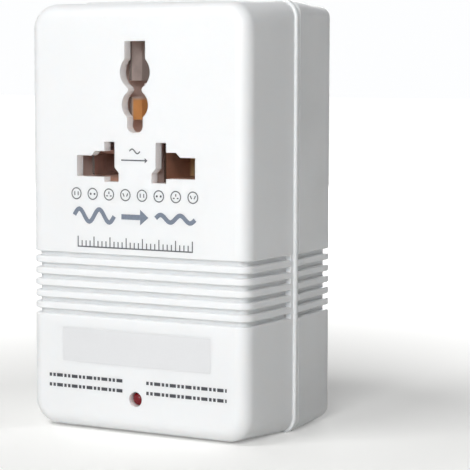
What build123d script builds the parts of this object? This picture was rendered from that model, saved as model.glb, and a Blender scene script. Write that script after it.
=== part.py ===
from build123d import *
import os
from math import radians, tan

# Outer casing. Depths are counted from the flat front face towards the back.
face_width = 53.6
face_height = 90.8
face_corner = 5.9
face_edge = 3.0
face_wall = 2.4
wall = 2.2
front_depth = 19.5
front_draft = 1.7
casing_depth = 39.0
rear_draft = 3.4
back_edge = 2.3
bead_width = 1.3
bead_proud = 0.62
bead_round = 0.4
bead_corner = 4.15
back_corner = 2.44
rear_inset = 0.15
lip_chamfer = 0.3
rear_chamfer = 0.45
seam_gap = 0.3
tongue_length = 2.0
rebate_wall = 1.1
fit_gap = 0.1
overrun = 1.0

# Grip grooves round the casing
groove_count = 6
groove_pitch = 2.49
groove_width = 1.0
groove_depth = 1.2
groove_lip = 0.5
groove_runout = 0.06
groove_top_share = 0.6663
groove_stop = 1.1

# Universal socket, placed about its own centre line
socket_below_top = 35.49
flat_spacing = 12.7
flat_slot_width = 2.55
flat_slot_top = 5.23
flat_slot_bottom = -3.22
slant_inner = 4.07
slant_top = -1.2
slant_chamfer = 1.0
band_outer = 14.6
band_top = 2.24
band_bottom = -2.24
round_outer = 11.0
round_top = 3.24
earth_pin_half = 2.54
earth_pin_top = 26.35
earth_big_height = 19.89
earth_big_radius = 3.69
earth_neck_half = 1.7
earth_small_height = 13.05
earth_small_radius = 3.23
earth_tail_half = 1.94
earth_tail_bottom = 7.24
earth_soften = 0.7

# Socket carrier, a moulding behind the front face
carrier_gap = 0.1
carrier_depth_share = 0.4872
carrier_wall = 1.2
carrier_back = 1.4
pole_inner = 3.4
pole_outer = 15.9
pole_low = -4.0
pole_high = 6.0
earth_cell_half = 4.9
earth_cell_low = 7.25
earth_cell_high = 27.4
ear_reach = 9.4
ear_low = 13.4
ear_high = 20.6
ear_thick = 2.0
ear_front = 8.0
ear_screw_x = 12.0
ear_boss_radius = 2.8

# Bent copper contacts
leaf = 0.5
contact_gap = 0.2
leaf_front = 4.4
leaf_neck = 7.4
pole_grip = 2.35
pole_flare = 1.0
pole_leaf_inner = 8.2
pole_leaf_outer = 12.6
outer_leaf_front = 13.3
outer_leaf_back = 15.1
outer_leaf_bend = 12.0
outer_leaf_half = 2.1
blade_leaf = 4.7
blade_leaf_low = -3.2
blade_leaf_high = 4.9
earth_grip = 2.85
earth_flare = 0.8
earth_tab_half = 1.9
earth_tab_low = 15.2
earth_tab_high = 17.6
tail_width = 3.0
tail_length = 4.4
tail_slot_gap = 0.2

# Lamp behind the front face
lamp_above_floor = 8.5
lamp_radius = 1.5
lamp_hole_gap = 0.08
lamp_recess = 0.35
lamp_length = 5.0
lamp_flange = 0.4
lamp_flange_length = 1.0
lamp_lead_radius = 0.25
lamp_lead_spacing = 2.54
lamp_board_width = 15.0
lamp_board_height = 8.0
lamp_board_thick = 1.0
lamp_board_depth = 7.4
lamp_post_radius = 1.5
lamp_peg_radius = 0.6
lamp_post_spacing = 11.6
resistor_radius = 0.9
resistor_length = 4.2
resistor_lead_radius = 0.22
resistor_rise = 0.1

# Screws that close the casing
casing_screw_radius = 1.4
casing_boss_radius = 3.0
casing_boss_inset = 6.0
casing_boss_rise = 7.5
casing_screw_head_radius = 2.6
casing_screw_head = 1.9
casing_counterbore_radius = 2.9
casing_counterbore_depth = 10.0
casing_screw_length = 17.0
screw_pilot_gap = 0.15
screw_hole_gap = 0.2
cross_width = 0.7
cross_depth = 0.9
small_screw_radius = 1.1
small_screw_head_radius = 2.0
small_screw_head = 1.3

# Transformer
core_low = 11.0
core_side_gap = 0.2
core_top_gap = 0.9
coil_front_gap = 0.8
coil_back_gap = 0.4
core_hole_radius = 1.7
core_screw_radius = 1.5
core_screw_head_radius = 2.7
core_screw_head = 1.8
core_screw_bite = 6.0
core_post_radius = 3.1
spool_gap = 0.3
spool_wall = 0.9
spool_flange = 1.0
spool_end_gap = 0.2
primary_build = 2.5
secondary_build = 1.8
winding_gap = 0.05
tape_thick = 0.3
thermal_fuse_radius = 1.25
thermal_fuse_length = 9.0

# Folding plug in the back
blade_width = 6.35
blade_thick = 1.5
blade_length = 17.0
blade_tip_chamfer = 1.2
blade_hole_radius = 1.6
blade_hole_from_tip = 5.5
barrel_radius = 3.5
barrel_side = 3.2
barrel_below_top = 15.5
barrel_below_face = 0.4
trunnion_radius = 1.6
trunnion_length = 1.0
bearing_gap = 0.06
barrel_end_gap = 0.15
pocket_gap = 0.45
pocket_wall = 1.4
blade_slot_gap = 0.5
blade_tip_gap = 0.8
tail_half = 1.5
tail_reach = 1.0
tail_sweep_gap = 0.25
scoop_half = 9.4
scoop_below_tip = 2.6
scoop_above_tip = 5.4
scoop_depth = 4.8
scoop_round = 2.0
input_leaf_width = 4.0
input_leaf_length = 13.0
input_leaf_drop = 6.0
input_leaf_seat = 0.2
input_touch_gap = 0.06

# Voltage selector in the back
selector_width = 23.0
selector_height = 9.0
selector_body_depth = 6.4
selector_wall = 1.0
selector_travel = 5.0
selector_knob_width = 5.0
selector_knob_height = 4.4
selector_knob_below_face = 0.5
selector_base_width = 9.0
selector_base_height = 6.4
selector_base_thick = 1.6
selector_gap = 0.2
selector_recess_margin = 1.7
selector_recess_depth = 1.0
selector_rib_thick = 1.2
selector_rib_gap = 0.15
lug_width = 2.2
lug_length = 2.2
lug_spacing = 5.5
knob_groove_width = 0.8
knob_groove_depth = 0.6

# Worked-out sizes
front_rate = tan(radians(front_draft))
rear_rate = tan(radians(rear_draft))
flare = front_depth * front_rate
bead_end = front_depth + bead_width
seam_depth = bead_end + seam_gap
bead_span = face_width + 2 * (flare + bead_proud)
bead_height = face_height + 2 * (flare + bead_proud)
corner_rate = (face_corner + bead_proud - bead_corner) / front_depth
rear_corner = back_corner + (casing_depth - seam_depth) * rear_rate
middle_z = bead_height / 2
rear_width = bead_span - 2 * rear_inset
rear_height = bead_height - 2 * rear_inset
inner_back = casing_depth - wall
socket_above_floor = bead_height - socket_below_top
groove_top_above_floor = groove_top_share * socket_above_floor
carrier_front = face_wall + carrier_gap
carrier_end = carrier_front + carrier_depth_share * casing_depth
contact_back = carrier_end - carrier_back - contact_gap
limb = (face_width - 2 * (wall + core_side_gap)) / 6
core_high = socket_above_floor + pole_low - carrier_wall - core_top_gap
coil_build = spool_gap + spool_wall + primary_build + secondary_build + 2 * winding_gap + tape_thick
core_front = face_wall + coil_front_gap + coil_build
selector_front = inner_back - selector_body_depth
coil_end = selector_front - lug_length - coil_back_gap
core_back = coil_end - coil_build
core_stack = core_back - core_front
core_middle_depth = core_front + core_stack / 2
core_middle_z = (core_low + core_high) / 2
barrel_above_floor = bead_height - barrel_below_top
barrel_depth = casing_depth - barrel_below_face - barrel_radius
barrel_half = flat_spacing / 2 + blade_thick / 2 + barrel_side
blade_tip_z = barrel_above_floor - barrel_radius - blade_length
pocket_floor = barrel_depth - barrel_radius - pocket_gap
housing_low = blade_tip_z - scoop_below_tip - pocket_wall
selector_above_floor = (groove_top_above_floor + housing_low) / 2
boss_x = face_width / 2 - casing_boss_inset
boss_heights = (casing_boss_rise, bead_height - casing_boss_rise)
screw_seat = casing_depth - casing_counterbore_depth


# Drawing helpers

def across(depth):
    """The plane that stands across the casing at a depth, seen from the front."""
    return Plane(origin=(0, depth - casing_depth / 2, 0), x_dir=(1, 0, 0), z_dir=(0, -1, 0))


def prism(outline, start, end):
    """An outline drawn in width and height, made solid between two depths."""
    return extrude(across(end) * outline, amount=end - start)


def block(left, right, start, end, low, high):
    """A plain block between two widths, two depths and two heights."""
    outline = Pos((left + right) / 2, (low + high) / 2) * Rectangle(right - left, high - low)
    return prism(outline, start, end)


def rod(x, z, radius, start, end):
    """A round bar that runs front to back."""
    return prism(Pos(x, z) * Circle(radius), start, end)


def cross_rod(left, right, depth, z, radius):
    """A round bar that runs from side to side."""
    side = Plane(origin=(left, depth - casing_depth / 2, z), x_dir=(0, 1, 0), z_dir=(1, 0, 0))
    return extrude(side * Circle(radius), amount=right - left)


def plan_prism(outline, low, high):
    """An outline drawn in width and depth, made solid between two heights."""
    floor = Plane(origin=(0, -casing_depth / 2, low), x_dir=(1, 0, 0), z_dir=(0, 0, 1))
    return extrude(floor * outline, amount=high - low)


def side_prism(outline, left, right):
    """An outline drawn in depth and height, made solid between two widths."""
    side = Plane(origin=(left, -casing_depth / 2, 0), x_dir=(0, 1, 0), z_dir=(1, 0, 0))
    return extrude(side * outline, amount=right - left)


def bent_strip(points):
    """A strip of contact sheet that follows a few points."""
    return trace(Polyline(*points), line_width=leaf)


def at_socket(outline):
    """An outline drawn about the socket's centre line, moved to its place."""
    return Pos(0, socket_above_floor) * outline


def mirrored(points):
    """The same points on the other side of the centre line."""
    return [(-x, z) for x, z in points]


# Casing forms

def casing_section(width, height, corner, depth):
    """One rounded rectangle of the casing."""
    return across(depth) * (Pos(0, middle_z) * RectangleRounded(width, height, corner))


def front_form(inset, start, end):
    """The flared front casing, drawn in from its skin by an inset."""
    sections = []
    for depth in (start, end):
        growth = depth * front_rate - inset
        width = face_width + 2 * growth
        height = face_height + 2 * growth
        sections.append(casing_section(width, height, face_corner - depth * corner_rate - inset, depth))
    return loft(sections, ruled=True)


def rear_form(inset, start, end):
    """The tapering rear casing, drawn in from its skin by an inset."""
    sections = []
    for depth in (start, end):
        growth = (seam_depth - depth) * rear_rate - inset
        width = rear_width + 2 * growth
        height = rear_height + 2 * growth
        sections.append(casing_section(width, height, rear_corner + growth, depth))
    return loft(sections, ruled=True)


def straight_form(width, height, corner, start, end):
    """A rounded rectangle of one size between two depths."""
    outline = Pos(0, middle_z) * RectangleRounded(width, height, corner)
    return prism(outline, start, end)


def groove_outline():
    """The section of one groove, with rounded lips that run on past the skin."""
    half = groove_width / 2
    lip = half + groove_lip
    turn = groove_runout - groove_lip
    with BuildSketch() as section:
        with BuildLine():
            Polyline((turn, half), (-groove_depth, half), (-groove_depth, -half), (turn, -half))
            RadiusArc((turn, -half), (groove_runout, -lip), groove_lip)
            Polyline((groove_runout, -lip), (overrun, -lip), (overrun, lip), (groove_runout, lip))
            RadiusArc((groove_runout, lip), (turn, half), groove_lip)
        make_face()
    return section.sketch


def grooves(route_points, corner):
    """All the grooves that follow one route round a shell."""
    cuts = []
    for index in range(groove_count):
        z = groove_top_above_floor - index * groove_pitch
        points = [(x, depth - casing_depth / 2, z) for x, depth in route_points]
        route = FilletPolyline(*points, radius=corner)
        outward = (points[0][0], 0, 0)
        start = Plane(origin=points[0], x_dir=outward, z_dir=route % 0)
        cuts.append(sweep(start * groove_outline(), path=route))
    return cuts


# Socket outlines

def pole_outline(side):
    """A slot that takes flat, slanted, round and large flat pins."""
    inner = flat_spacing / 2 - flat_slot_width / 2
    outer = flat_spacing / 2 + flat_slot_width / 2
    step = round_top - band_top
    points = [
        (inner, flat_slot_top),
        (outer, flat_slot_top),
        (outer, round_top),
        (round_outer - step, round_top),
        (round_outer, band_top),
        (band_outer, band_top),
        (band_outer, band_bottom),
        (outer, band_bottom),
        (outer, flat_slot_bottom),
        (slant_inner, flat_slot_bottom),
        (slant_inner, slant_top),
        (inner, slant_top + slant_chamfer),
    ]
    if side < 0:
        points = mirrored(points)
    return make_face(Polyline(*points, close=True))


def earth_outline():
    """The waisted slot that takes flat and round earth pins."""
    outline = Pos(0, earth_big_height) * Circle(earth_big_radius)
    outline += Pos(0, earth_small_height) * Circle(earth_small_radius)
    pin_height = earth_pin_top - earth_big_height
    outline += Pos(0, earth_big_height + pin_height / 2) * Rectangle(2 * earth_pin_half, pin_height)
    neck_height = earth_big_height - earth_small_height
    outline += Pos(0, earth_small_height + neck_height / 2) * Rectangle(2 * earth_neck_half, neck_height)
    tail_height = earth_small_height - earth_tail_bottom
    outline += Pos(0, earth_tail_bottom + tail_height / 2) * Rectangle(2 * earth_tail_half, tail_height)
    ends = outline.vertices().filter_by_position(Axis.Y, earth_tail_bottom - leaf, earth_tail_bottom + leaf)
    outline = fillet(ends, earth_soften * 2)
    corners = outline.vertices().filter_by_position(Axis.Y, earth_small_height, earth_pin_top - leaf)
    return fillet(corners, earth_soften)


def socket_openings(start, end):
    """All three slots, cut between two depths."""
    cuts = []
    for outline in (pole_outline(-1), pole_outline(1), earth_outline()):
        cuts.append(prism(at_socket(outline), start, end))
    return cuts


# Casing parts

def front_cover():
    """The white front shell with its slots, bead, tongue and bosses."""
    skin = front_form(0, 0, front_depth)
    skin = fillet(skin.edges().group_by(Axis.Y)[0], face_edge)
    bead = straight_form(bead_span, bead_height, bead_corner, front_depth, bead_end)
    bead = fillet(bead.edges().group_by(Axis.Y)[0], bead_round)
    bead = chamfer(bead.edges().group_by(Axis.Y)[-1], lip_chamfer)
    shell = skin + bead
    tongue_inset = rebate_wall + fit_gap
    tongue_end = bead_end + tongue_length
    tongue = straight_form(
        rear_width - 2 * tongue_inset, rear_height - 2 * tongue_inset,
        rear_corner - tongue_inset, bead_end, tongue_end,
    )
    shell += tongue
    hollow = front_form(wall, face_wall, bead_end)
    shell -= hollow
    shell -= straight_form(
        rear_width - 2 * wall, rear_height - 2 * wall, rear_corner - wall, bead_end, tongue_end + overrun
    )
    shell += front_posts()
    shell -= socket_openings(-overrun, carrier_front)
    shell -= rod(0, lamp_above_floor, lamp_radius + lamp_hole_gap, -overrun, face_wall + overrun)
    half = face_width / 2
    stop = front_depth - groove_stop
    route = [
        (-half - stop * front_rate, stop),
        (-half, 0),
        (half, 0),
        (half + stop * front_rate, stop),
    ]
    shell -= grooves(route, face_edge)
    return shell


def front_posts():
    """Bosses inside the front shell, with their pilot holes."""
    posts = Part()
    pilot = casing_screw_radius - screw_pilot_gap
    pilot_start = screw_seat - casing_screw_length - overrun
    for x in (-boss_x, boss_x):
        for z in boss_heights:
            post = rod(x, z, casing_boss_radius, face_wall - overrun, bead_end)
            posts += post - rod(x, z, pilot, pilot_start, bead_end + overrun)
    for side in (-1, 1):
        x = side * ear_screw_x
        z = socket_above_floor + (ear_low + ear_high) / 2
        post = rod(x, z, ear_boss_radius, face_wall - overrun, ear_front)
        posts += post - rod(x, z, small_screw_radius - screw_pilot_gap, face_wall, ear_front + overrun)
        x = side * lamp_post_spacing / 2
        posts += rod(x, lamp_above_floor, lamp_post_radius, face_wall - overrun, lamp_board_depth)
        peg_end = lamp_board_depth + lamp_board_thick
        posts += rod(x, lamp_above_floor, lamp_peg_radius, lamp_board_depth, peg_end)
    return posts


def rear_cover():
    """The rear shell with the plug pocket, the selector window and posts."""
    skin = rear_form(0, seam_depth, casing_depth)
    skin = fillet(skin.edges().group_by(Axis.Y)[-1], back_edge)
    skin = chamfer(skin.edges().group_by(Axis.Y)[0], rear_chamfer)
    shell = skin - rear_form(wall, seam_depth, inner_back)
    rebate = tongue_length - seam_gap + fit_gap
    shell -= straight_form(
        rear_width - 2 * rebate_wall, rear_height - 2 * rebate_wall,
        rear_corner - rebate_wall, seam_depth - overrun, seam_depth + rebate,
    )
    shell += rear_posts()
    shell += selector_ribs()
    shell += plug_housing()
    shell -= plug_pocket()
    shell -= selector_window()
    for x in (-boss_x, boss_x):
        for z in boss_heights:
            shell -= rod(x, z, casing_screw_radius + screw_hole_gap, seam_depth - overrun, casing_depth)
            shell -= rod(x, z, casing_counterbore_radius, screw_seat, casing_depth + overrun)
    half_seam = rear_width / 2
    half_back = half_seam - (casing_depth - seam_depth) * rear_rate
    route = [
        (-half_seam - overrun * rear_rate, seam_depth - overrun),
        (-half_back, casing_depth),
        (half_back, casing_depth),
        (half_seam + overrun * rear_rate, seam_depth - overrun),
    ]
    shell -= grooves(route, back_edge)
    return shell


def rear_posts():
    """Posts inside the rear shell for the casing and core screws."""
    posts = Part()
    counterbore_wall = casing_counterbore_radius + pocket_wall
    for x in (-boss_x, boss_x):
        for z in boss_heights:
            posts += rod(x, z, casing_boss_radius, bead_end + fit_gap, inner_back + overrun)
            posts += rod(x, z, counterbore_wall, screw_seat - pocket_wall, inner_back + overrun)
    posts = posts & rear_form(wall / 2, seam_depth - overrun, casing_depth)
    pilot = core_screw_radius - screw_pilot_gap
    for x, z in core_screw_places():
        post = rod(x, z, core_post_radius, core_back, inner_back + overrun)
        posts += post - rod(x, z, pilot, core_back - overrun, core_back + core_screw_bite + overrun)
    return posts


def selector_ribs():
    """Two ribs that hold the selector's body from its ends."""
    ribs = Part()
    reach = selector_width / 2 + selector_rib_gap
    low = selector_above_floor - selector_height / 2
    high = selector_above_floor + selector_height / 2
    for side in (-1, 1):
        ends = sorted((side * reach, side * (reach + selector_rib_thick)))
        ribs += block(ends[0], ends[1], selector_front, inner_back + overrun, low, high)
    return ribs


def selector_window():
    """The window that the selector's knob slides in, with its shallow recess."""
    width = selector_knob_width + selector_travel + 2 * selector_gap
    height = selector_knob_height + 2 * selector_gap
    place = Pos(0, selector_above_floor)
    window = prism(place * Rectangle(width, height), inner_back - overrun, casing_depth + overrun)
    recess = place * RectangleRounded(
        width + 2 * selector_recess_margin, height + 2 * selector_recess_margin, selector_recess_margin
    )
    return window + prism(recess, casing_depth - selector_recess_depth, casing_depth + overrun)


def plug_housing():
    """The block inside the rear shell that the plug folds into."""
    half = barrel_half + barrel_end_gap + pocket_wall
    top = barrel_above_floor + barrel_radius + tail_reach + tail_sweep_gap + pocket_wall
    return block(-half, half, pocket_floor - pocket_wall, inner_back + overrun, housing_low, top)


def plug_pocket():
    """The pocket itself: barrel space, blade slots, finger scoop and bearings."""
    half = barrel_half + barrel_end_gap
    reach = barrel_radius + pocket_gap
    out = casing_depth + overrun
    cut = block(-half, half, pocket_floor, out, barrel_above_floor - reach, barrel_above_floor + reach)
    tail_radius = barrel_radius + tail_reach + tail_sweep_gap
    for side in (-1, 1):
        x = side * flat_spacing / 2
        slot_half = blade_thick / 2 + blade_slot_gap
        floor = barrel_depth - blade_width / 2 - blade_slot_gap
        low = blade_tip_z - blade_tip_gap
        cut += block(x - slot_half, x + slot_half, floor, out, low, barrel_above_floor)
        cut += cross_rod(x - slot_half, x + slot_half, barrel_depth, barrel_above_floor, tail_radius)
        window = tail_half + blade_slot_gap
        cut += block(
            x - slot_half, x + slot_half, pocket_floor - pocket_wall - overrun, barrel_depth,
            barrel_above_floor - window, barrel_above_floor + window,
        )
        bearing = sorted((side * (half - overrun), side * (half + pocket_wall + overrun)))
        bearing_radius = trunnion_radius + bearing_gap
        cut += cross_rod(bearing[0], bearing[1], barrel_depth, barrel_above_floor, bearing_radius)
    scoop_low = blade_tip_z - scoop_below_tip
    scoop_high = blade_tip_z + scoop_above_tip
    scoop = Pos(0, (scoop_low + scoop_high) / 2) * RectangleRounded(
        2 * scoop_half, scoop_high - scoop_low, scoop_round
    )
    return cut + prism(scoop, casing_depth - scoop_depth, out)


def screw(x, z, seat, tip, radius, head_radius, head, driven_from):
    """A cross-head screw whose head sits at a depth and whose point is at another."""
    shank = rod(x, z, radius, min(seat, tip), max(seat, tip))
    head_end = seat + driven_from * head
    body = shank + rod(x, z, head_radius, min(seat, head_end), max(seat, head_end))
    cross = Rectangle(2 * radius, cross_width) + Rectangle(cross_width, 2 * radius)
    cut_start = head_end - driven_from * cross_depth
    cut_end = head_end + driven_from * overrun
    return body - prism(Pos(x, z) * cross, min(cut_start, cut_end), max(cut_start, cut_end))


def casing_screws():
    """The four screws that close the casing from behind."""
    found = []
    tip = screw_seat - casing_screw_length
    for x in (-boss_x, boss_x):
        for z in boss_heights:
            found.append(screw(
                x, z, screw_seat, tip, casing_screw_radius - screw_pilot_gap,
                casing_screw_head_radius, casing_screw_head, 1,
            ))
    return found


# Socket parts

def socket_carrier():
    """The dark moulding that holds the three contacts behind the slots."""
    low = pole_low - carrier_wall
    high = earth_cell_high + carrier_wall
    side = pole_outer + carrier_wall
    tower = earth_cell_half + carrier_wall
    waist = pole_high + carrier_wall
    outline = Pos(0, (low + waist) / 2) * Rectangle(2 * side, waist - low)
    outline += Pos(0, (low + high) / 2) * Rectangle(2 * tower, high - low)
    body = prism(at_socket(outline), carrier_front, carrier_end)
    ears = Rectangle(2 * (tower + ear_reach), ear_high - ear_low)
    ears = Pos(0, (ear_low + ear_high) / 2) * ears
    body += prism(at_socket(ears), ear_front, ear_front + ear_thick)
    chamber_end = carrier_end - carrier_back
    pole_width = pole_outer - pole_inner
    for turn in (-1, 1):
        cell = Pos(turn * (pole_inner + pole_width / 2), (pole_low + pole_high) / 2)
        cell = cell * Rectangle(pole_width, pole_high - pole_low)
        body -= prism(at_socket(cell), carrier_front - overrun, chamber_end)
        x = turn * ear_screw_x
        z = socket_above_floor + (ear_low + ear_high) / 2
        body -= rod(x, z, small_screw_radius + screw_hole_gap, ear_front - overrun, carrier_end)
    cell = Pos(0, (earth_cell_low + earth_cell_high) / 2)
    cell = cell * Rectangle(2 * earth_cell_half, earth_cell_high - earth_cell_low)
    body -= prism(at_socket(cell), carrier_front - overrun, chamber_end)
    for outline in tail_outlines(leaf / 2 + tail_slot_gap, tail_width / 2 + tail_slot_gap):
        body -= prism(at_socket(outline), chamber_end - overrun, carrier_end + overrun)
    return body


def tail_outlines(half_thick, half_wide):
    """The places where the contact tails leave the carrier."""
    middle = (pole_inner + pole_outer) / 2
    earth_middle = (earth_tab_low + earth_tab_high) / 2
    places = [(-middle, 0), (middle, 0), (0, earth_middle)]
    return [Pos(x, z) * Rectangle(2 * half_wide, 2 * half_thick) for x, z in places]


def pole_contact(side):
    """One bent copper contact: two gripping leaves, a blade leaf and an outer leaf."""
    back = contact_back
    front = back - leaf
    inner = blade_leaf - leaf / 2
    outer = outer_leaf_back + leaf / 2
    plate_low = blade_leaf_low
    plate_high = blade_leaf_high
    body = block(inner, outer, front, back, plate_low, plate_high)
    for turn in (-1, 1):
        grip = turn * (pole_grip + leaf / 2)
        flared = turn * (pole_grip + leaf / 2 + pole_flare)
        strip = bent_strip([(leaf_front, flared), (leaf_neck, grip), (front + leaf / 2, grip)])
        left = blade_leaf if turn < 0 else pole_leaf_inner
        body += side_prism(strip, left, pole_leaf_outer)
    strip = bent_strip([(blade_leaf, leaf_front), (blade_leaf, front + leaf / 2)])
    body += plan_prism(strip, blade_leaf_low, blade_leaf_high)
    strip = bent_strip([
        (outer_leaf_front, leaf_front),
        (outer_leaf_back, outer_leaf_bend),
        (outer_leaf_back, front + leaf / 2),
    ])
    body += plan_prism(strip, -outer_leaf_half, outer_leaf_half)
    body += prism(tail_outlines(leaf / 2, tail_width / 2)[1], front, contact_back + tail_length)
    if side < 0:
        body = mirror(body, about=Plane.YZ)
    return Pos(0, 0, socket_above_floor) * body


def earth_contact():
    """The earth contact: paired leaves for each pin and a front tab between them."""
    back = contact_back
    front = back - leaf
    half = earth_grip + leaf
    tab_middle = (earth_tab_low + earth_tab_high) / 2
    low = earth_small_height - earth_small_radius
    high = earth_pin_top
    body = block(-half, half, front, back, low, high)
    pairs = (
        (earth_small_height - earth_small_radius, earth_tab_low - leaf),
        (earth_tab_high + leaf, earth_pin_top),
    )
    for turn in (-1, 1):
        grip = turn * (earth_grip + leaf / 2)
        flared = turn * (earth_grip + leaf / 2 + earth_flare)
        for bottom, top in pairs:
            strip = bent_strip([(flared, leaf_front), (grip, leaf_neck), (grip, front + leaf / 2)])
            body += plan_prism(strip, bottom, top)
    tab_front = leaf_neck - leaf
    body += block(-earth_tab_half, earth_tab_half, tab_front, leaf_neck, earth_tab_low, earth_tab_high)
    stem_low = tab_middle - leaf / 2
    body += block(-earth_tab_half, earth_tab_half, tab_front, front, stem_low, stem_low + leaf)
    body += prism(tail_outlines(leaf / 2, tail_width / 2)[2], front, contact_back + tail_length)
    return Pos(0, 0, socket_above_floor) * body


def carrier_screws():
    """The two screws that hold the socket carrier to the front shell."""
    found = []
    seat = ear_front + ear_thick
    for side in (-1, 1):
        x = side * ear_screw_x
        z = socket_above_floor + (ear_low + ear_high) / 2
        found.append(screw(
            x, z, seat, face_wall + overrun, small_screw_radius - screw_pilot_gap,
            small_screw_head_radius, small_screw_head, 1,
        ))
    return found


# Lamp parts

def led_lamp():
    """A 3 mm round lamp with its flange and two leads."""
    base = lamp_recess + lamp_length
    body = rod(0, lamp_above_floor, lamp_radius, lamp_recess + lamp_radius, base)
    dome = Sphere(lamp_radius)
    dome = Pos(0, lamp_recess + lamp_radius - casing_depth / 2, lamp_above_floor) * dome
    body += dome
    flange_radius = lamp_radius + lamp_flange
    body += rod(0, lamp_above_floor, flange_radius, base - lamp_flange_length, base)
    for side in (-1, 1):
        x = side * lamp_lead_spacing / 2
        body += rod(x, lamp_above_floor, lamp_lead_radius, base - overrun, lamp_board_depth)
    return body


def led_board():
    """The small board that carries the lamp and its resistor."""
    half = lamp_board_width / 2
    low = lamp_above_floor - lamp_board_height / 2
    high = lamp_above_floor + lamp_board_height / 2
    end = lamp_board_depth + lamp_board_thick
    board = block(-half, half, lamp_board_depth, end, low, high)
    for side in (-1, 1):
        x = side * lamp_post_spacing / 2
        hole = lamp_peg_radius + fit_gap
        board -= rod(x, lamp_above_floor, hole, lamp_board_depth - overrun, end + overrun)
    return board


def led_resistor():
    """The lamp's dropping resistor, lying across the front of its board."""
    depth = lamp_board_depth - resistor_radius - resistor_rise
    z = lamp_above_floor + lamp_board_height / 2 - resistor_radius
    half = resistor_length / 2
    body = cross_rod(-half, half, depth, z, resistor_radius)
    reach = half + resistor_radius
    body += cross_rod(-reach, reach, depth, z, resistor_lead_radius)
    for side in (-1, 1):
        x = side * reach
        body += rod(x, z, resistor_lead_radius, depth - resistor_lead_radius, lamp_board_depth)
    return body


# Transformer parts

def core_screw_places():
    """Where the four core screws pass through the corners of the core."""
    x = 3 * limb - limb / 2
    return [(side * x, z) for side in (-1, 1) for z in (core_low + limb / 2, core_high - limb / 2)]


def core_holes():
    """The four corner holes of the core."""
    start = core_front - overrun
    end = core_back + overrun
    return [rod(x, z, core_hole_radius, start, end) for x, z in core_screw_places()]


def core_e_stack():
    """The stack of E-shaped steel sheets."""
    stack = block(-3 * limb, 3 * limb, core_front, core_back, core_low, core_high - limb)
    for side in (-1, 1):
        ends = sorted((side * limb, side * 2 * limb))
        stack -= block(
            ends[0], ends[1], core_front - overrun, core_back + overrun,
            core_low + limb, core_high - limb + overrun,
        )
    return stack - core_holes()


def core_i_stack():
    """The stack of straight steel sheets that closes the core."""
    return block(-3 * limb, 3 * limb, core_front, core_back, core_high - limb, core_high) - core_holes()


def spool_ring(inner_offset, outer_offset, low, high, corner):
    """A rectangular ring round the core's middle limb."""
    half_width = limb + inner_offset
    half_depth = core_stack / 2 + inner_offset
    growth = outer_offset - inner_offset
    outer_width = 2 * (half_width + growth)
    outer_depth = 2 * (half_depth + growth)
    place = Pos(0, core_middle_depth)
    outline = place * RectangleRounded(outer_width, outer_depth, corner + growth)
    inside = place * RectangleRounded(2 * half_width, 2 * half_depth, corner)
    return plan_prism(outline - inside, low, high)


def transformer_bobbin():
    """The moulded bobbin on the middle limb, with a flange at each end."""
    low = core_low + limb + spool_end_gap
    high = core_high - limb - spool_end_gap
    outer = spool_gap + spool_wall
    body = spool_ring(spool_gap, outer, low, high, spool_gap)
    body += spool_ring(spool_gap, coil_build, low, low + spool_flange, spool_gap)
    body += spool_ring(spool_gap, coil_build, high - spool_flange, high, spool_gap)
    return body


def winding(inner_offset, outer_offset):
    """One winding, as the closed body that its turns fill."""
    low = core_low + limb + spool_end_gap + spool_flange + winding_gap
    high = core_high - limb - spool_end_gap - spool_flange - winding_gap
    return spool_ring(inner_offset, outer_offset, low, high, inner_offset)


primary_inner = spool_gap + spool_wall + winding_gap
primary_outer = primary_inner + primary_build
secondary_inner = primary_outer + winding_gap
secondary_outer = secondary_inner + secondary_build
tape_inner = secondary_outer
tape_outer = tape_inner + tape_thick - winding_gap


def thermal_fuse():
    """The thermal cut-out that lies on the back of the windings."""
    depth = core_middle_depth + core_stack / 2 + tape_outer + winding_gap + thermal_fuse_radius
    half = thermal_fuse_length / 2
    return cross_rod(-half, half, depth, core_middle_z, thermal_fuse_radius)


def core_screws():
    """The four screws that hold the core to the rear shell."""
    found = []
    for x, z in core_screw_places():
        found.append(screw(
            x, z, core_front, core_back + core_screw_bite, core_screw_radius - screw_pilot_gap,
            core_screw_head_radius, core_screw_head, -1,
        ))
    return found


# Folding plug parts

def plug_barrel():
    """The moulded barrel that carries both blades and turns on two trunnions."""
    body = cross_rod(-barrel_half, barrel_half, barrel_depth, barrel_above_floor, barrel_radius)
    reach = barrel_half + barrel_end_gap + trunnion_length
    body += cross_rod(-reach, reach, barrel_depth, barrel_above_floor, trunnion_radius)
    for side in (-1, 1):
        body -= blade_blank(side)
    return body


def blade_blank(side):
    """A flat blade with its narrow tail, pointing down as it is when folded."""
    x = side * flat_spacing / 2
    low = blade_tip_z
    tail_end = barrel_radius + tail_reach
    middle = barrel_above_floor
    blade = block(
        x - blade_thick / 2, x + blade_thick / 2,
        barrel_depth - blade_width / 2, barrel_depth + blade_width / 2, low, middle,
    )
    tail = block(
        x - blade_thick / 2, x + blade_thick / 2,
        barrel_depth - tail_half, barrel_depth + tail_half, middle, middle + tail_end,
    )
    sweep_disc = cross_rod(x - blade_thick, x + blade_thick, barrel_depth, middle, tail_end)
    return blade + (tail & sweep_disc)


def plug_blade(side):
    """One nickel-plated blade, chamfered at its tip, with its hole."""
    blade = blade_blank(side)
    tip = blade.edges().filter_by(Axis.X).group_by(Axis.Z)[0]
    blade = chamfer(tip, blade_tip_chamfer)
    x = side * flat_spacing / 2
    hole_z = blade_tip_z + blade_hole_from_tip
    return blade - cross_rod(x - blade_thick, x + blade_thick, barrel_depth, hole_z, blade_hole_radius)


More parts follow.
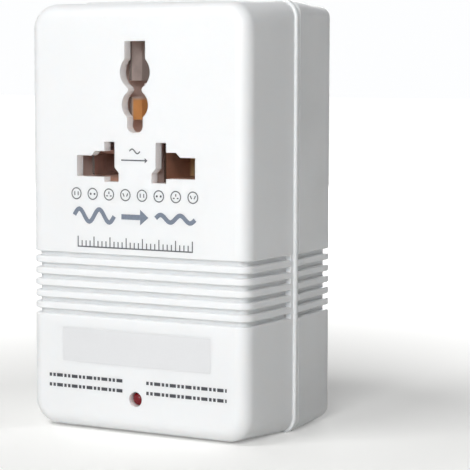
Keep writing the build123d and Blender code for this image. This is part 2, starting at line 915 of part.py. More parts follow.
def input_contact(side):
    """A spring leaf behind the pocket, with a bump that the blade's tail meets."""
    x = side * flat_spacing / 2
    back = pocket_floor - pocket_wall - input_leaf_seat
    front = back - leaf
    high = barrel_above_floor + input_leaf_length - input_leaf_drop
    low = barrel_above_floor - input_leaf_drop
    strip = block(x - input_leaf_width / 2, x + input_leaf_width / 2, front, back, low, high)
    bump_end = barrel_depth - barrel_radius - tail_reach - input_touch_gap
    bump = block(
        x - blade_thick / 2, x + blade_thick / 2, back, bump_end,
        barrel_above_floor - tail_half, barrel_above_floor + tail_half,
    )
    return strip + bump


# Selector parts

def selector_body():
    """The selector's housing, open towards the window."""
    low = selector_above_floor - selector_height / 2
    high = selector_above_floor + selector_height / 2
    body = block(-selector_width / 2, selector_width / 2, selector_front, inner_back, low, high)
    half = selector_base_width / 2 + selector_travel / 2 + selector_gap
    cell_half = selector_base_height / 2 + selector_gap
    body -= block(
        -half, half, selector_front + selector_wall, inner_back + overrun,
        selector_above_floor - cell_half, selector_above_floor + cell_half,
    )
    return body


def selector_slider():
    """The knob and its base, resting at the left end of their travel."""
    middle = -selector_travel / 2
    base_end = inner_back - selector_gap
    half = selector_base_width / 2
    cell_half = selector_base_height / 2
    body = block(
        middle - half, middle + half, base_end - selector_base_thick, base_end,
        selector_above_floor - cell_half, selector_above_floor + cell_half,
    )
    knob_end = casing_depth - selector_knob_below_face
    knob = Pos(middle, selector_above_floor) * Rectangle(selector_knob_width, selector_knob_height)
    body += prism(knob, base_end, knob_end)
    groove = block(
        middle - knob_groove_width / 2, middle + knob_groove_width / 2,
        knob_end - knob_groove_depth, knob_end + overrun,
        selector_above_floor - selector_knob_height, selector_above_floor + selector_knob_height,
    )
    return body - groove


def selector_lugs():
    """The selector's three solder lugs."""
    found = []
    z = selector_above_floor
    for index in (-1, 0, 1):
        x = index * lug_spacing
        found.append(block(
            x - lug_width / 2, x + lug_width / 2,
            selector_front - lug_length, selector_front, z - leaf / 2, z + leaf / 2,
        ))
    return found


# One file for each part

os.makedirs("parts", exist_ok=True)


def save(name, shape):
    """Writes one part, or a group of like parts."""
    if isinstance(shape, list):
        shape = Compound(children=shape)
    export_step(shape, os.path.join("parts", name + ".step"))


save("front_cover", front_cover())
save("rear_cover", rear_cover())
save("casing_screws", casing_screws())
save("socket_carrier", socket_carrier())
save("carrier_screws", carrier_screws())
save("live_contact", pole_contact(1))
save("neutral_contact", pole_contact(-1))
save("earth_contact", earth_contact())
save("led_lamp", led_lamp())
save("led_board", led_board())
save("led_resistor", led_resistor())
save("core_e_stack", core_e_stack())
save("core_i_stack", core_i_stack())
save("transformer_bobbin", transformer_bobbin())
save("primary_winding", winding(primary_inner, primary_outer))
save("secondary_winding", winding(secondary_inner, secondary_outer))
save("winding_tape", winding(tape_inner, tape_outer))
save("thermal_fuse", thermal_fuse())
save("core_screws", core_screws())
save("plug_barrel", plug_barrel())
save("plug_blade_left", plug_blade(-1))
save("plug_blade_right", plug_blade(1))
save("input_contact_left", input_contact(-1))
save("input_contact_right", input_contact(1))
save("selector_body", selector_body())
save("selector_slider", selector_slider())
save("selector_lugs", selector_lugs())
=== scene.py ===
import math

import bmesh
import bpy
from mathutils import Matrix, Vector


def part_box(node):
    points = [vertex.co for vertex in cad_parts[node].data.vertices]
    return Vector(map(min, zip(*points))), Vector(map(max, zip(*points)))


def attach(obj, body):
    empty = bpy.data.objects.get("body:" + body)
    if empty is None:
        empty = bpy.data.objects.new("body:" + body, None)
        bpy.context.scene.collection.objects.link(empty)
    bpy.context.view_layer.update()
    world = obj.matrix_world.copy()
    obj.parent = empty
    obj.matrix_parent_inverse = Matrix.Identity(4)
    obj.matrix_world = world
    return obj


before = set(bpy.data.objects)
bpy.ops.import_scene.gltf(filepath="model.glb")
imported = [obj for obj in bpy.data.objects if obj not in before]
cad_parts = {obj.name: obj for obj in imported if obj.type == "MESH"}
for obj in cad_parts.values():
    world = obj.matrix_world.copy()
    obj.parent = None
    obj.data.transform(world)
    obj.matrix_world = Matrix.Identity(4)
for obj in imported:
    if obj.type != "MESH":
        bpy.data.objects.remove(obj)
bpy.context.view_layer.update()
scene = bpy.context.scene
MM = 0.001

# The casing's front and back faces
FACE_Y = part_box("front_cover")[0].y
BACK_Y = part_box("rear_cover")[1].y


# Camera, fitted to the photograph, which is a square of 470 pixels

PHOTO_SIZE = 470
FOCAL_PIXELS = 1842.26
SENSOR_WIDTH = 36.0
CAMERA_PLACE = Vector((206.277, -346.258, 76.424)) * MM
CAMERA_YAW = math.radians(29.147)
CAMERA_PITCH = math.radians(4.873)
CAMERA_ROLL = math.radians(0.13)
CLIP_START = 0.01
CLIP_END = 50.0


def direction(turn, rise):
    """The way to a place that is turned to the right from straight in front, and raised."""
    level = math.cos(rise)
    return Vector((math.sin(turn) * level, -math.cos(turn) * level, math.sin(rise)))


def make_camera():
    """The camera at the photograph's viewing angle."""
    data = bpy.data.cameras.new("camera")
    data.sensor_width = SENSOR_WIDTH
    data.sensor_fit = "HORIZONTAL"
    data.lens = FOCAL_PIXELS / PHOTO_SIZE * SENSOR_WIDTH
    data.clip_start = CLIP_START
    data.clip_end = CLIP_END
    back = direction(CAMERA_YAW, CAMERA_PITCH)
    right = (-back).cross(Vector((0, 0, 1))).normalized()
    up = right.cross(-back)
    turned_right = right * math.cos(CAMERA_ROLL) + up * math.sin(CAMERA_ROLL)
    turned_up = up * math.cos(CAMERA_ROLL) - right * math.sin(CAMERA_ROLL)
    turn = Matrix((turned_right, turned_up, back)).transposed().to_4x4()
    camera = bpy.data.objects.new("camera", data)
    camera.matrix_world = Matrix.Translation(CAMERA_PLACE) @ turn
    scene.collection.objects.link(camera)
    scene.camera = camera


make_camera()


# Helpers for the materials' nodes

# The range that most of a noise value lies in
NOISE_LOW = 0.3
NOISE_HIGH = 0.7

# Sockets of a Mix node that mixes colours
MIX_SHARE = 0
MIX_COLOURS = (6, 7)
MIX_RESULT = 2


def new_material(name):
    """A plain node material with its shader and the place on the piece itself."""
    material = bpy.data.materials.new(name)
    material.use_nodes = True
    tree = material.node_tree
    shader = tree.nodes["Principled BSDF"]
    place = tree.nodes.new("ShaderNodeTexCoord")
    return material, tree, shader, place.outputs["Object"]


def place_in_frame(tree):
    """The three coordinates in the shared frame, for pieces that don't move."""
    split = tree.nodes.new("ShaderNodeSeparateXYZ")
    place = tree.nodes.new("ShaderNodeNewGeometry")
    tree.links.new(place.outputs["Position"], split.inputs[0])
    return split.outputs


def noise(tree, place, scale, detail=3.0, stretch=(1, 1, 1)):
    """A noise value that moves with its piece, at a scale in waves per metre."""
    mapping = tree.nodes.new("ShaderNodeMapping")
    mapping.inputs["Scale"].default_value = stretch
    tree.links.new(place, mapping.inputs["Vector"])
    node = tree.nodes.new("ShaderNodeTexNoise")
    node.inputs["Scale"].default_value = scale
    node.inputs["Detail"].default_value = detail
    tree.links.new(mapping.outputs["Vector"], node.inputs["Vector"])
    return node.outputs["Fac"]


def spread(tree, value, low, high, start=NOISE_LOW, end=NOISE_HIGH):
    """A value stretched from one range to another."""
    node = tree.nodes.new("ShaderNodeMapRange")
    node.inputs["From Min"].default_value = start
    node.inputs["From Max"].default_value = end
    node.inputs["To Min"].default_value = low
    node.inputs["To Max"].default_value = high
    tree.links.new(value, node.inputs["Value"])
    return node.outputs["Result"]


def within(tree, value, start=NOISE_LOW, end=NOISE_HIGH):
    """A share that rises from zero to one between two values."""
    return spread(tree, value, 0.0, 1.0, start, end)


def calculate(tree, operation, first, second):
    """Two values put through a calculation."""
    node = tree.nodes.new("ShaderNodeMath")
    node.operation = operation
    tree.links.new(first, node.inputs[0])
    tree.links.new(second, node.inputs[1])
    return node.outputs[0]


def band(tree, value, low, high, fade):
    """A share that is one between two values and fades to zero at both."""
    rises = within(tree, value, low, low + fade)
    falls = within(tree, value, high, high - fade)
    return calculate(tree, "MULTIPLY", rises, falls)


def dimmed(colour, share):
    """A colour with a share of its brightness left."""
    return tuple(share * part for part in colour)


def mix_colours(tree, share, first, second):
    """A colour between two colours, each of them three numbers or a node's output."""
    node = tree.nodes.new("ShaderNodeMix")
    node.data_type = "RGBA"
    tree.links.new(share, node.inputs[MIX_SHARE])
    for index, colour in zip(MIX_COLOURS, (first, second)):
        if isinstance(colour, tuple):
            node.inputs[index].default_value = (*colour, 1.0)
        else:
            tree.links.new(colour, node.inputs[index])
    return node.outputs[MIX_RESULT]


def set_colour(tree, shader, share, first, second):
    """A base colour that lies between two colours."""
    tree.links.new(mix_colours(tree, share, first, second), shader.inputs["Base Color"])


def set_roughness(tree, shader, value, low, high):
    """A roughness that follows a noise value."""
    tree.links.new(spread(tree, value, low, high), shader.inputs["Roughness"])


def bump(tree, shader, height, strength, depth):
    """A bump from a height value."""
    node = tree.nodes.new("ShaderNodeBump")
    node.inputs["Strength"].default_value = strength
    node.inputs["Distance"].default_value = depth
    tree.links.new(height, node.inputs["Height"])
    tree.links.new(node.outputs["Normal"], shader.inputs["Normal"])


# Moulded plastic

PLASTIC_DRIFT_SCALE = 35
PLASTIC_GLOSS_SCALE = 140
PLASTIC_GLOSS_SPREAD = 0.08
PLASTIC_SPECULAR = 0.5
FINE_GRAIN_SCALE = 2500
COARSE_GRAIN_SCALE = 1800
PLASTIC_RELIEF = 0.08 * MM
SCATTER_LENGTH = 2.0 * MM
SCATTER_SHARES = (1.0, 0.9, 0.85)


def moulded_plastic(
    name, colour, shade, roughness, grain_scale=FINE_GRAIN_SCALE, grain=0.05, see_through=0.0,
):
    """Moulded plastic: slight colour drift, fine grain and uneven gloss."""
    material, tree, shader, place = new_material(name)
    drift = within(tree, noise(tree, place, PLASTIC_DRIFT_SCALE, detail=4))
    set_colour(tree, shader, drift, colour, shade)
    clouds = noise(tree, place, PLASTIC_GLOSS_SCALE, detail=5)
    low, high = roughness - PLASTIC_GLOSS_SPREAD, roughness + PLASTIC_GLOSS_SPREAD
    set_roughness(tree, shader, clouds, low, high)
    shader.inputs["Specular IOR Level"].default_value = PLASTIC_SPECULAR
    shader.inputs["Subsurface Weight"].default_value = see_through
    shader.inputs["Subsurface Scale"].default_value = SCATTER_LENGTH
    shader.inputs["Subsurface Radius"].default_value = SCATTER_SHARES
    bump(tree, shader, noise(tree, place, grain_scale, detail=2), grain, PLASTIC_RELIEF)
    return material


# Painted light on the walls in the openings

# They start just behind the face and end where the contacts' front edges are
OPENINGS_START = FACE_Y + 0.1 * MM
CONTACT_EDGE = -15.0 * MM
DEPTH_FADE = 0.15 * MM

# How far from the middle they reach to each side, and the heights that they lie between
OPENINGS_REACH = 17.2 * MM
SIDE_FADE = 0.2 * MM
SLOT_HEIGHTS = (50.0 * MM, 88.0 * MM)
LAMP_HOLE_HEIGHTS = (5.0 * MM, 12.0 * MM)
HEIGHT_FADE = 0.4 * MM


def painted_light_in_openings(material, colour):
    """Painted bounce light: the walls of the slots and of the lamp's hole drawn paler and pinkish.
    """
    tree = material.node_tree
    shader = tree.nodes["Principled BSDF"]
    outside = shader.inputs["Base Color"].links[0].from_socket
    where = place_in_frame(tree)
    behind = band(tree, where["Y"], OPENINGS_START, CONTACT_EDGE, DEPTH_FADE)
    near = band(tree, where["X"], -OPENINGS_REACH, OPENINGS_REACH, SIDE_FADE)
    slots = band(tree, where["Z"], *SLOT_HEIGHTS, HEIGHT_FADE)
    hole = band(tree, where["Z"], *LAMP_HOLE_HEIGHTS, HEIGHT_FADE)
    inside = calculate(tree, "MULTIPLY", behind, near)
    share = calculate(tree, "MULTIPLY", inside, calculate(tree, "MAXIMUM", slots, hole))
    set_colour(tree, shader, share, outside, colour)


# Bare and plated metal

STAIN_RANGE = (0.35, 0.7)
STAIN_SCALE = 220
STREAK_SCALE = 1800
STREAK_BUMP = 0.12
METAL_RELIEF = 0.05 * MM
POLISHED_BY = 0.07
WORN_BY = 0.12
STREAKS_UPRIGHT = (1, 1, 0.1)


def rolled_metal(name, colour, shade, roughness, stretch=(1, 1, 1), streak=STREAK_BUMP):
    """Bare or plated metal: stains, fine streaks and uneven polish."""
    material, tree, shader, place = new_material(name)
    stain = within(tree, noise(tree, place, STAIN_SCALE, detail=5), *STAIN_RANGE)
    set_colour(tree, shader, stain, colour, shade)
    shader.inputs["Metallic"].default_value = 1.0
    streaks = noise(tree, place, STREAK_SCALE, stretch=stretch)
    set_roughness(tree, shader, streaks, roughness - POLISHED_BY, roughness + WORN_BY)
    bump(tree, shader, streaks, streak, METAL_RELIEF)
    return material


# The contacts' sheet

CONTACT_STAIN_SCALE = 260
CONTACT_ROUGHNESS = (0.28, 0.46)
CONTACT_EDGE_FADE = 0.1 * MM
STAINED_SHARE = 0.72
SCUFFED_SHARE = 0.85

# Limits past which a contact is bright copper, partly its own colour and partly painted light on
# lit leaves and edges: an axis, where the bright part starts and where it is full
LIVE_LIMITS = [("Y", -5.4 * MM, -4.6 * MM)]
NEUTRAL_LIMITS = [("Z", 55.6 * MM, 54.8 * MM)]
EARTH_LIMITS = [("Z", 72.2 * MM, 71.6 * MM), ("Y", -14.8 * MM, -14.4 * MM)]


def contact_metal(name, tarnish, copper, metallic, limits, edge_shade_share=0.12):
    """Contact sheet: stained tarnish with painted shade along its front edges, and bright copper
    past set limits, partly the copper's own colour and partly painted light.
    """
    material, tree, shader, place = new_material(name)
    where = place_in_frame(tree)
    copper_and_light_share = None
    for axis, start, full in limits:
        inside = within(tree, where[axis], start, full)
        copper_and_light_share = calculate(tree, "MULTIPLY", copper_and_light_share, inside) if copper_and_light_share else inside
    stain = within(tree, noise(tree, place, CONTACT_STAIN_SCALE, detail=4), *STAIN_RANGE)
    worn = mix_colours(tree, stain, tarnish, dimmed(tarnish, STAINED_SHARE))
    # Painted shade: the contact's front edges are darkened to a share of the tarnish
    behind_edge = within(tree, where["Y"], CONTACT_EDGE, CONTACT_EDGE + CONTACT_EDGE_FADE)
    stain_and_edge_shade = mix_colours(tree, behind_edge, dimmed(tarnish, edge_shade_share), worn)
    # Bright copper: partly the copper's own colour, partly painted light and highlights on leaves
    # that face the lamps
    bright = mix_colours(tree, stain, copper, dimmed(copper, SCUFFED_SHARE))
    set_colour(tree, shader, copper_and_light_share, stain_and_edge_shade, bright)
    shader.inputs["Metallic"].default_value = metallic
    streaks = noise(tree, place, STREAK_SCALE, stretch=STREAKS_UPRIGHT)
    set_roughness(tree, shader, streaks, *CONTACT_ROUGHNESS)
    bump(tree, shader, streaks, STREAK_BUMP, METAL_RELIEF)
    return material


# Printed ink

INK_COVER_RANGE = (0.3, 0.75)
INK_COVER_SCALE = 1800
INK_GLOSS_SCALE = 700
INK_ROUGHNESS = (0.42, 0.58)
INK_GRAIN_SCALE = 3000
INK_BUMP = 0.05
INK_LIFT_SHARE = 0.125
FINE_RELIEF = 0.03 * MM


def ink(name, colour, uneven=0.12):
    """Printed ink: nearly flat colour with slightly uneven cover."""
    material, tree, shader, place = new_material(name)
    cover = within(tree, noise(tree, place, INK_COVER_SCALE), *INK_COVER_RANGE)
    lift = uneven * INK_LIFT_SHARE
    paler = tuple(min(1.0, part * (1 + uneven) + lift) for part in colour)
    set_colour(tree, shader, cover, colour, paler)
    set_roughness(tree, shader, noise(tree, place, INK_GLOSS_SCALE), *INK_ROUGHNESS)
    bump(tree, shader, noise(tree, place, INK_GRAIN_SCALE, detail=2), INK_BUMP, FINE_RELIEF)
    return material


# The lamp's lens

LENS_DARK = (0.13, 0.002, 0.006)
LENS_RED = (0.2, 0.004, 0.01)
LENS_COLOUR_SCALE = 900
LENS_GLOSS_SCALE = 500
LENS_ROUGHNESS = (0.08, 0.16)
LENS_GRAIN_SCALE = 2000
LENS_BUMP = 0.03
LENS_SPECULAR = 0.25
LENS_COAT = 0.1
LENS_COAT_ROUGHNESS = 0.04


def lamp_lens():
    """The lamp's dark red, glossy epoxy."""
    material, tree, shader, place = new_material("lamp_lens")
    depth = within(tree, noise(tree, place, LENS_COLOUR_SCALE, detail=2))
    set_colour(tree, shader, depth, LENS_DARK, LENS_RED)
    shader.inputs["Specular IOR Level"].default_value = LENS_SPECULAR
    shader.inputs["Coat Weight"].default_value = LENS_COAT
    shader.inputs["Coat Roughness"].default_value = LENS_COAT_ROUGHNESS
    set_roughness(tree, shader, noise(tree, place, LENS_GLOSS_SCALE), *LENS_ROUGHNESS)
    bump(tree, shader, noise(tree, place, LENS_GRAIN_SCALE, detail=2), LENS_BUMP, FINE_RELIEF)
    return material


# Materials of the converter's pieces: name, colour, a second colour that it drifts to, roughness

def casing_finishes():
    """The white shells, and the plated screws."""
    shell = moulded_plastic(
        "white_abs", (0.862, 0.872, 0.882), (0.847, 0.857, 0.866), 0.4, see_through=0.45,
    )
    # The pale pinkish colour is painted bounce light on the walls of the slots and the lamp's hole
    painted_light_in_openings(shell, (0.985, 0.95, 0.94))
    zinc = rolled_metal("zinc_plate", (0.68, 0.67, 0.64), (0.52, 0.5, 0.46), 0.36)
    return {
        "front_cover": shell,
        "rear_cover": shell,
        "casing_screws": zinc,
        "carrier_screws": zinc,
        "core_screws": zinc,
    }


def socket_finishes():
    """The carrier and the contacts that show through the slots."""
    return {
        "socket_carrier": moulded_plastic(
            "taupe_nylon", (0.94, 0.77, 0.71), (0.88, 0.7, 0.64), 0.42, COARSE_GRAIN_SCALE, 0.1,
        ),
        "live_contact": contact_metal(
            "live_sheet", (0.5, 0.26, 0.18), (1.0, 0.78, 0.5), 0.2, LIVE_LIMITS,
        ),
        "neutral_contact": contact_metal(
            "neutral_sheet", (0.62, 0.41, 0.35), (0.95, 0.56, 0.42), 0.25, NEUTRAL_LIMITS,
        ),
        "earth_contact": contact_metal(
            "earth_sheet", (0.78, 0.67, 0.63), (1.0, 0.53, 0.2), 0.25, EARTH_LIMITS, 0.4,
        ),
    }


def lamp_finishes():
    """The lamp, its board and its resistor."""
    return {
        "led_lamp": lamp_lens(),
        "led_board": moulded_plastic(
            "phenolic_board", (0.42, 0.27, 0.11), (0.33, 0.2, 0.08), 0.5,
        ),
        "led_resistor": moulded_plastic(
            "resistor_lacquer", (0.5, 0.38, 0.22), (0.42, 0.3, 0.16), 0.35,
        ),
    }


def transformer_finishes():
    """The steel core, the coil and its cut-out."""
    steel = rolled_metal(
        "varnished_steel", (0.22, 0.21, 0.2), (0.14, 0.12, 0.1), 0.5, (1, 0.05, 1), 0.3,
    )
    copper = rolled_metal(
        "enamelled_copper", (0.5, 0.2, 0.07), (0.38, 0.13, 0.04), 0.35, (0.1, 0.1, 1), 0.3,
    )
    return {
        "core_e_stack": steel,
        "core_i_stack": steel,
        "transformer_bobbin": moulded_plastic(
            "natural_nylon", (0.8, 0.77, 0.68), (0.74, 0.7, 0.6), 0.45,
        ),
        "primary_winding": copper,
        "secondary_winding": copper,
        "winding_tape": moulded_plastic(
            "polyester_tape", (0.8, 0.6, 0.06), (0.7, 0.5, 0.05), 0.25,
        ),
        "thermal_fuse": moulded_plastic(
            "fuse_sleeve", (0.82, 0.8, 0.75), (0.74, 0.72, 0.66), 0.4,
        ),
    }


def plug_finishes():
    """The folding plug, and the spring leaves that its blades meet."""
    nickel = rolled_metal(
        "nickel_plate", (0.8, 0.78, 0.74), (0.68, 0.65, 0.6), 0.22, (1, 1, 0.08), 0.05,
    )
    bronze = rolled_metal(
        "phosphor_bronze", (0.78, 0.4, 0.22), (0.62, 0.28, 0.14), 0.32, STREAKS_UPRIGHT,
    )
    return {
        "plug_barrel": moulded_plastic(
            "barrel_nylon", (0.03, 0.03, 0.032), (0.045, 0.045, 0.047), 0.38,
        ),
        "plug_blade_left": nickel,
        "plug_blade_right": nickel,
        "input_contact_left": bronze,
        "input_contact_right": bronze,
    }


def selector_finishes():
    """The voltage selector with its red slide."""
    return {
        "selector_body": moulded_plastic(
            "dark_nylon", (0.05, 0.045, 0.043), (0.075, 0.068, 0.066), 0.5,
            COARSE_GRAIN_SCALE, 0.12,
        ),
        "selector_slider": moulded_plastic(
            "selector_acetal", (0.52, 0.03, 0.025), (0.42, 0.025, 0.02), 0.35,
        ),
        "selector_lugs": rolled_metal(
            "tinned_brass", (0.74, 0.73, 0.7), (0.6, 0.58, 0.54), 0.4,
        ),
    }


def dress_nodes():
    """Gives every piece of the frame its finish."""
    finishes = {
        **casing_finishes(),
        **socket_finishes(),
        **lamp_finishes(),
        **transformer_finishes(),
        **plug_finishes(),
        **selector_finishes(),
    }
    for name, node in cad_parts.items():
        node.data.materials.clear()
        node.data.materials.append(finishes[name])


dress_nodes()


# Printing on the casing: plain marks, drawn as thin closed skins of ink

INK_RISE = 0.01 * MM
WAVE_STEPS = 20
RING_STEPS = 32
DOT_STEPS = 16
ARROW_HEAD_SHARE = 0.62


def circle(x, z, radius, steps):
    """Points along a circle."""
    turns = [2 * math.pi * step / steps for step in range(steps)]
    return [(x + radius * math.cos(turn), z + radius * math.sin(turn)) for turn in turns]


class Print:
    """Flat marks of one colour, gathered into one piece, in millimetres across and up a face."""

    def __init__(self, name, material, face=FACE_Y, rise=-INK_RISE):
        self.name = name
        self.material = material
        self.depths = (face + rise, face)
        self.mesh = bmesh.new()

    def polygon(self, points):
        """A filled outline."""
        rings = []
        for y in self.depths:
            rings.append([self.mesh.verts.new((x * MM, y, z * MM)) for x, z in points])
        outer, inner = rings
        self.mesh.faces.new(outer)
        self.mesh.faces.new(inner[::-1])
        for index in range(len(points)):
            after = (index + 1) % len(points)
            self.mesh.faces.new((outer[index], inner[index], inner[after], outer[after]))

    def line(self, points, width, closed=False):
        """A stroke of one width along a row of points."""
        count = len(points)
        left, right = [], []
        for index, (x, z) in enumerate(points):
            first = index == 0 and not closed
            last = index == count - 1 and not closed
            before = points[index] if first else points[index - 1]
            after = points[index] if last else points[(index + 1) % count]
            dx, dz = after[0] - before[0], after[1] - before[1]
            length = math.hypot(dx, dz)
            across = (-dz / length * width / 2, dx / length * width / 2)
            left.append((x + across[0], z + across[1]))
            right.append((x - across[0], z - across[1]))
        for index in range(count if closed else count - 1):
            after = (index + 1) % count
            self.polygon([right[index], right[after], left[after], left[index]])

    def box(self, left, right, low, high):
        """A filled rectangle."""
        self.polygon([(left, low), (right, low), (right, high), (left, high)])

    def wave(self, left, right, middle, height, turns, width):
        """A sine wave."""
        steps = WAVE_STEPS * turns
        points = []
        for step in range(steps + 1):
            share = step / steps
            rise = math.sin(2 * math.pi * turns * share) * height / 2
            points.append((left + (right - left) * share, middle + rise))
        self.line(points, width)

    def ring(self, x, z, radius, width):
        """A circle's outline."""
        self.line(circle(x, z, radius, RING_STEPS), width, closed=True)

    def dot(self, x, z, radius):
        """A filled circle."""
        self.polygon(circle(x, z, radius, DOT_STEPS))

    def arrow(self, left, right, middle, height, width):
        """A plain arrow that points right."""
        head = right - height * ARROW_HEAD_SHARE
        low, high = middle - width / 2, middle + width / 2
        self.polygon([
            (left, low), (head, low), (head, middle - height / 2), (right, middle),
            (head, middle + height / 2), (head, high), (left, high),
        ])

    def finish(self):
        """Makes the piece and lets it ride on the casing."""
        bmesh.ops.recalc_face_normals(self.mesh, faces=self.mesh.faces)
        data = bpy.data.meshes.new(self.name)
        self.mesh.to_mesh(data)
        self.mesh.free()
        data.materials.append(self.material)
        piece = bpy.data.objects.new(self.name, data)
        scene.collection.objects.link(piece)
        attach(piece, "root")


# Waves and arrows: left end, right end, height on the face and height of the mark
SMALL_WAVE = (-1.35, 1.25, 61.05, 0.95)
SMALL_ARROW = (-3.4, 3.1, 59.15, 1.1)
TALL_WAVE = (-15.3, -5.2, 47.2, 2.7)
BOLD_ARROW = (-3.4, 3.3, 47.2, 3.3)
LOW_WAVE = (5.1, 14.6, 47.2, 1.5)
FINE_STROKE = 0.27
BOLD_WAVE_STROKE = 0.95
BOLD_ARROW_STROKE = 1.1

# The row of rings, each with the pins of one plain kind of plug
RING_KINDS = ("flat", "round", "three", "slanted") * 2
FIRST_RING = -14.75
RING_PITCH = 4.12
RING_ROW = 51.8
RING_RADIUS = 1.17
RING_STROKE = 0.24

# Pins, from the ring's middle: left, right, low and high sides of those that are boxes
PIN_BOXES = {
    "flat": [(-0.55, -0.3, -0.42, 0.42), (0.3, 0.55, -0.42, 0.42)],
    "three": [(-0.68, -0.26, -0.42, -0.17), (0.26, 0.68, -0.42, -0.17), (-0.13, 0.13, 0.1, 0.62)],
}
ROUND_PIN_OFFSET = 0.48
ROUND_PIN_RADIUS = 0.24
SLANTED_PIN_TOP = (0.62, 0.38)
SLANTED_PIN_FOOT = (0.3, -0.3)
SLANTED_PIN_STROKE = 0.25

# The graduated scale: its line, and the ticks that stand on it
SCALE_LEFT = -14.5
SCALE_RIGHT = 14.1
SCALE_LOW = 40.35
SCALE_HIGH = 40.62
TICK_FOOT = 40.6
TICK_WIDTH = 0.25
TICK_GAPS = 28
LONG_TICK_EVERY = 4
LONG_TICK = 2.1
SHORT_TICK = 1.2

# Rows of dashes at both sides of the lamp
DASH_ROWS = (11.85, 9.7)
DASH_STRETCHES = ((-22.0, -3.0), (2.7, 22.2))
DASH_LENGTHS = (0.62, 0.62, 1.5)
DASH_SPACE = 0.36
DASH_HEIGHT = 0.72

# The bare label's left, right, low and high sides
LABEL_SIDES = (-18.4, 18.3, 15.45, 22.75)

# Dots beside the selector, one at one side and two at the other
SELECTOR_DOTS = ((-10.4, 45.8), (10.4, 46.6), (10.4, 45.0))
SELECTOR_DOT_RADIUS = 0.55

SLATE = (0.085, 0.09, 0.1)
BLUE_GREY = (0.155, 0.185, 0.24)
BLACK = (0.04, 0.042, 0.05)
PALE_GREY = (0.735, 0.742, 0.755)


def pin_layout(marks, x, z, kind):
    """A small ring with the pins of one plain kind of plug inside it."""
    marks.ring(x, z, RING_RADIUS, RING_STROKE)
    for left, right, low, high in PIN_BOXES.get(kind, ()):
        marks.box(x + left, x + right, z + low, z + high)
    for side in (-1, 1):
        if kind == "round":
            marks.dot(x + side * ROUND_PIN_OFFSET, z, ROUND_PIN_RADIUS)
        if kind == "slanted":
            ends = [(x + side * dx, z + dz) for dx, dz in (SLANTED_PIN_TOP, SLANTED_PIN_FOOT)]
            marks.line(ends, SLANTED_PIN_STROKE)


def graduated_scale(marks):
    """A line with evenly spaced ticks, every fourth of them long."""
    marks.box(SCALE_LEFT, SCALE_RIGHT, SCALE_LOW, SCALE_HIGH)
    reach = SCALE_RIGHT - SCALE_LEFT - TICK_WIDTH
    for index in range(TICK_GAPS + 1):
        x = SCALE_LEFT + index * reach / TICK_GAPS
        tall = SHORT_TICK if index % LONG_TICK_EVERY else LONG_TICK
        marks.box(x, x + TICK_WIDTH, TICK_FOOT, TICK_FOOT + tall)


def dash_row(marks, start, end, low):
    """Two short dashes and a long one, over and over between two ends."""
    x = start
    index = 0
    while x < end:
        dash = DASH_LENGTHS[index % len(DASH_LENGTHS)]
        marks.box(x, min(x + dash, end), low, low + DASH_HEIGHT)
        x += dash + DASH_SPACE
        index += 1


def print_slate_marks():
    """A small wave over an arrow, the row of pin layouts and the graduated scale."""
    marks = Print("slate_marks", ink("slate_ink", SLATE))
    marks.wave(*SMALL_WAVE, turns=1, width=FINE_STROKE)
    marks.arrow(*SMALL_ARROW, width=FINE_STROKE)
    for index, kind in enumerate(RING_KINDS):
        pin_layout(marks, FIRST_RING + index * RING_PITCH, RING_ROW, kind)
    graduated_scale(marks)
    marks.finish()


def print_blue_marks():
    """A bold wave, an arrow and a lower wave."""
    marks = Print("blue_marks", ink("blue_grey_ink", BLUE_GREY))
    marks.wave(*TALL_WAVE, turns=2, width=BOLD_WAVE_STROKE)
    marks.arrow(*BOLD_ARROW, width=BOLD_ARROW_STROKE)
    marks.wave(*LOW_WAVE, turns=2, width=BOLD_WAVE_STROKE)
    marks.finish()


def print_lamp_marks():
    """Two rows of dashes at each side of the lamp."""
    marks = Print("lamp_marks", ink("black_ink", BLACK))
    for low in DASH_ROWS:
        for start, end in DASH_STRETCHES:
            dash_row(marks, start, end, low)
    marks.finish()


def print_label():
    """The bare grey label."""
    label = Print("bare_label", ink("pale_grey_ink", PALE_GREY, 0.01))
    label.box(*LABEL_SIDES)
    label.finish()


def print_selector_marks():
    """Plain dots for the selector's two positions, on the back."""
    marks = Print("selector_marks", ink("slate_ink_behind", SLATE), BACK_Y, INK_RISE)
    for x, z in SELECTOR_DOTS:
        marks.dot(x, z, SELECTOR_DOT_RADIUS)
    marks.finish()


print_slate_marks()
print_blue_marks()
print_lamp_marks()
print_label()
print_selector_marks()


# Floor, background and lights

# The floor hides the casing's lowest line, so that the gap under the front edge looks as it should
FLOOR_RISE = 0.6 * MM
FLOOR_SIZE = 12.0
FLOOR_COLOUR = (0.88, 0.88, 0.862, 1)
FLOOR_ROUGHNESS = 0.9
FLOOR_SPECULAR = 0.1

# Where the floor is seen it glows a little near the object, and grows to full white further out
GLOW_COLOUR = (1, 1, 0.995, 1)
GLOW_NEAR = 0.225
GLOW_GROWS_FROM = 0.065
GLOW_IS_FULL_AT = 0.27

WORLD_COLOUR = (0.985, 0.992, 1, 1)
WORLD_LIGHT = 0.045

# Each lamp: turn to the right from straight in front, rise, distance and size in metres, watts
LAMPS = {
    "front_lamp": (math.radians(18), math.radians(20), 0.55, 0.22, 1.82),
    "high_lamp": (math.radians(-24), math.radians(55), 0.9, 0.36, 2.98),
    "rear_lamp": (math.radians(198), math.radians(10), 0.9, 0.3, 2.3),
}
LAMP_TARGET = Vector((0, 0, 45)) * MM


def seen_directly(tree):
    """One for rays that show the surroundings, zero for rays that light the object."""
    path = tree.nodes.new("ShaderNodeLightPath")
    total = path.outputs["Is Camera Ray"]
    for name in ("Is Glossy Ray", "Is Transmission Ray"):
        total = calculate(tree, "MAXIMUM", total, path.outputs[name])
    return total


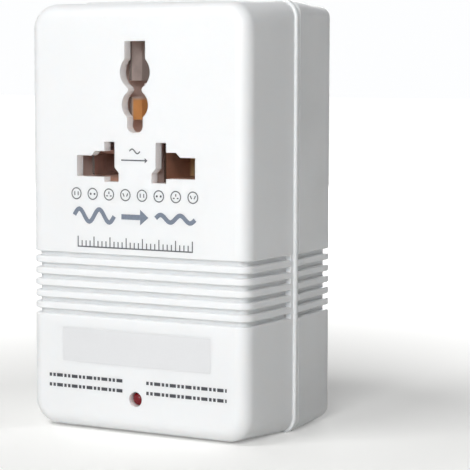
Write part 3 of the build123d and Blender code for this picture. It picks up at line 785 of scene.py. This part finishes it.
def make_stage():
    """A plain pale floor that runs out into a white background."""
    mesh = bpy.data.meshes.new("floor")
    half = FLOOR_SIZE / 2
    corners = [(-half, -half), (half, -half), (half, half), (-half, half)]
    mesh.from_pydata([(x, y, FLOOR_RISE) for x, y in corners], [], [(0, 1, 2, 3)])
    floor = bpy.data.objects.new("floor", mesh)
    scene.collection.objects.link(floor)
    material, tree, shader, place = new_material("pale_floor")
    shader.inputs["Base Color"].default_value = FLOOR_COLOUR
    shader.inputs["Roughness"].default_value = FLOOR_ROUGHNESS
    shader.inputs["Specular IOR Level"].default_value = FLOOR_SPECULAR
    shader.inputs["Emission Color"].default_value = GLOW_COLOUR
    away = tree.nodes.new("ShaderNodeVectorMath")
    away.operation = "LENGTH"
    tree.links.new(place, away.inputs[0])
    distance = away.outputs["Value"]
    growing = spread(tree, distance, GLOW_NEAR, 1.0, GLOW_GROWS_FROM, GLOW_IS_FULL_AT)
    glow = calculate(tree, "MULTIPLY", seen_directly(tree), growing)
    tree.links.new(glow, shader.inputs["Emission Strength"])
    mesh.materials.append(material)


def make_world():
    """White where it is seen, softer where it lights the object."""
    world = bpy.data.worlds.new("studio")
    world.use_nodes = True
    tree = world.node_tree
    background = tree.nodes["Background"]
    background.inputs["Color"].default_value = WORLD_COLOUR
    strength = spread(tree, seen_directly(tree), WORLD_LIGHT, 1.0, 0.0, 1.0)
    tree.links.new(strength, background.inputs["Strength"])
    scene.world = world


def make_lamp(name, turn, rise, distance, size, power):
    """A soft square lamp that faces the middle of the object."""
    aim = direction(turn, rise)
    data = bpy.data.lights.new(name, "AREA")
    data.shape = "SQUARE"
    data.size = size
    data.energy = power
    lamp = bpy.data.objects.new(name, data)
    lamp.location = LAMP_TARGET + aim * distance
    lamp.rotation_euler = aim.to_track_quat("Z", "Y").to_euler()
    scene.collection.objects.link(lamp)


make_stage()
make_world()
for lamp_name, lamp_values in LAMPS.items():
    make_lamp(lamp_name, *lamp_values)
scene.view_settings.view_transform = "Standard"
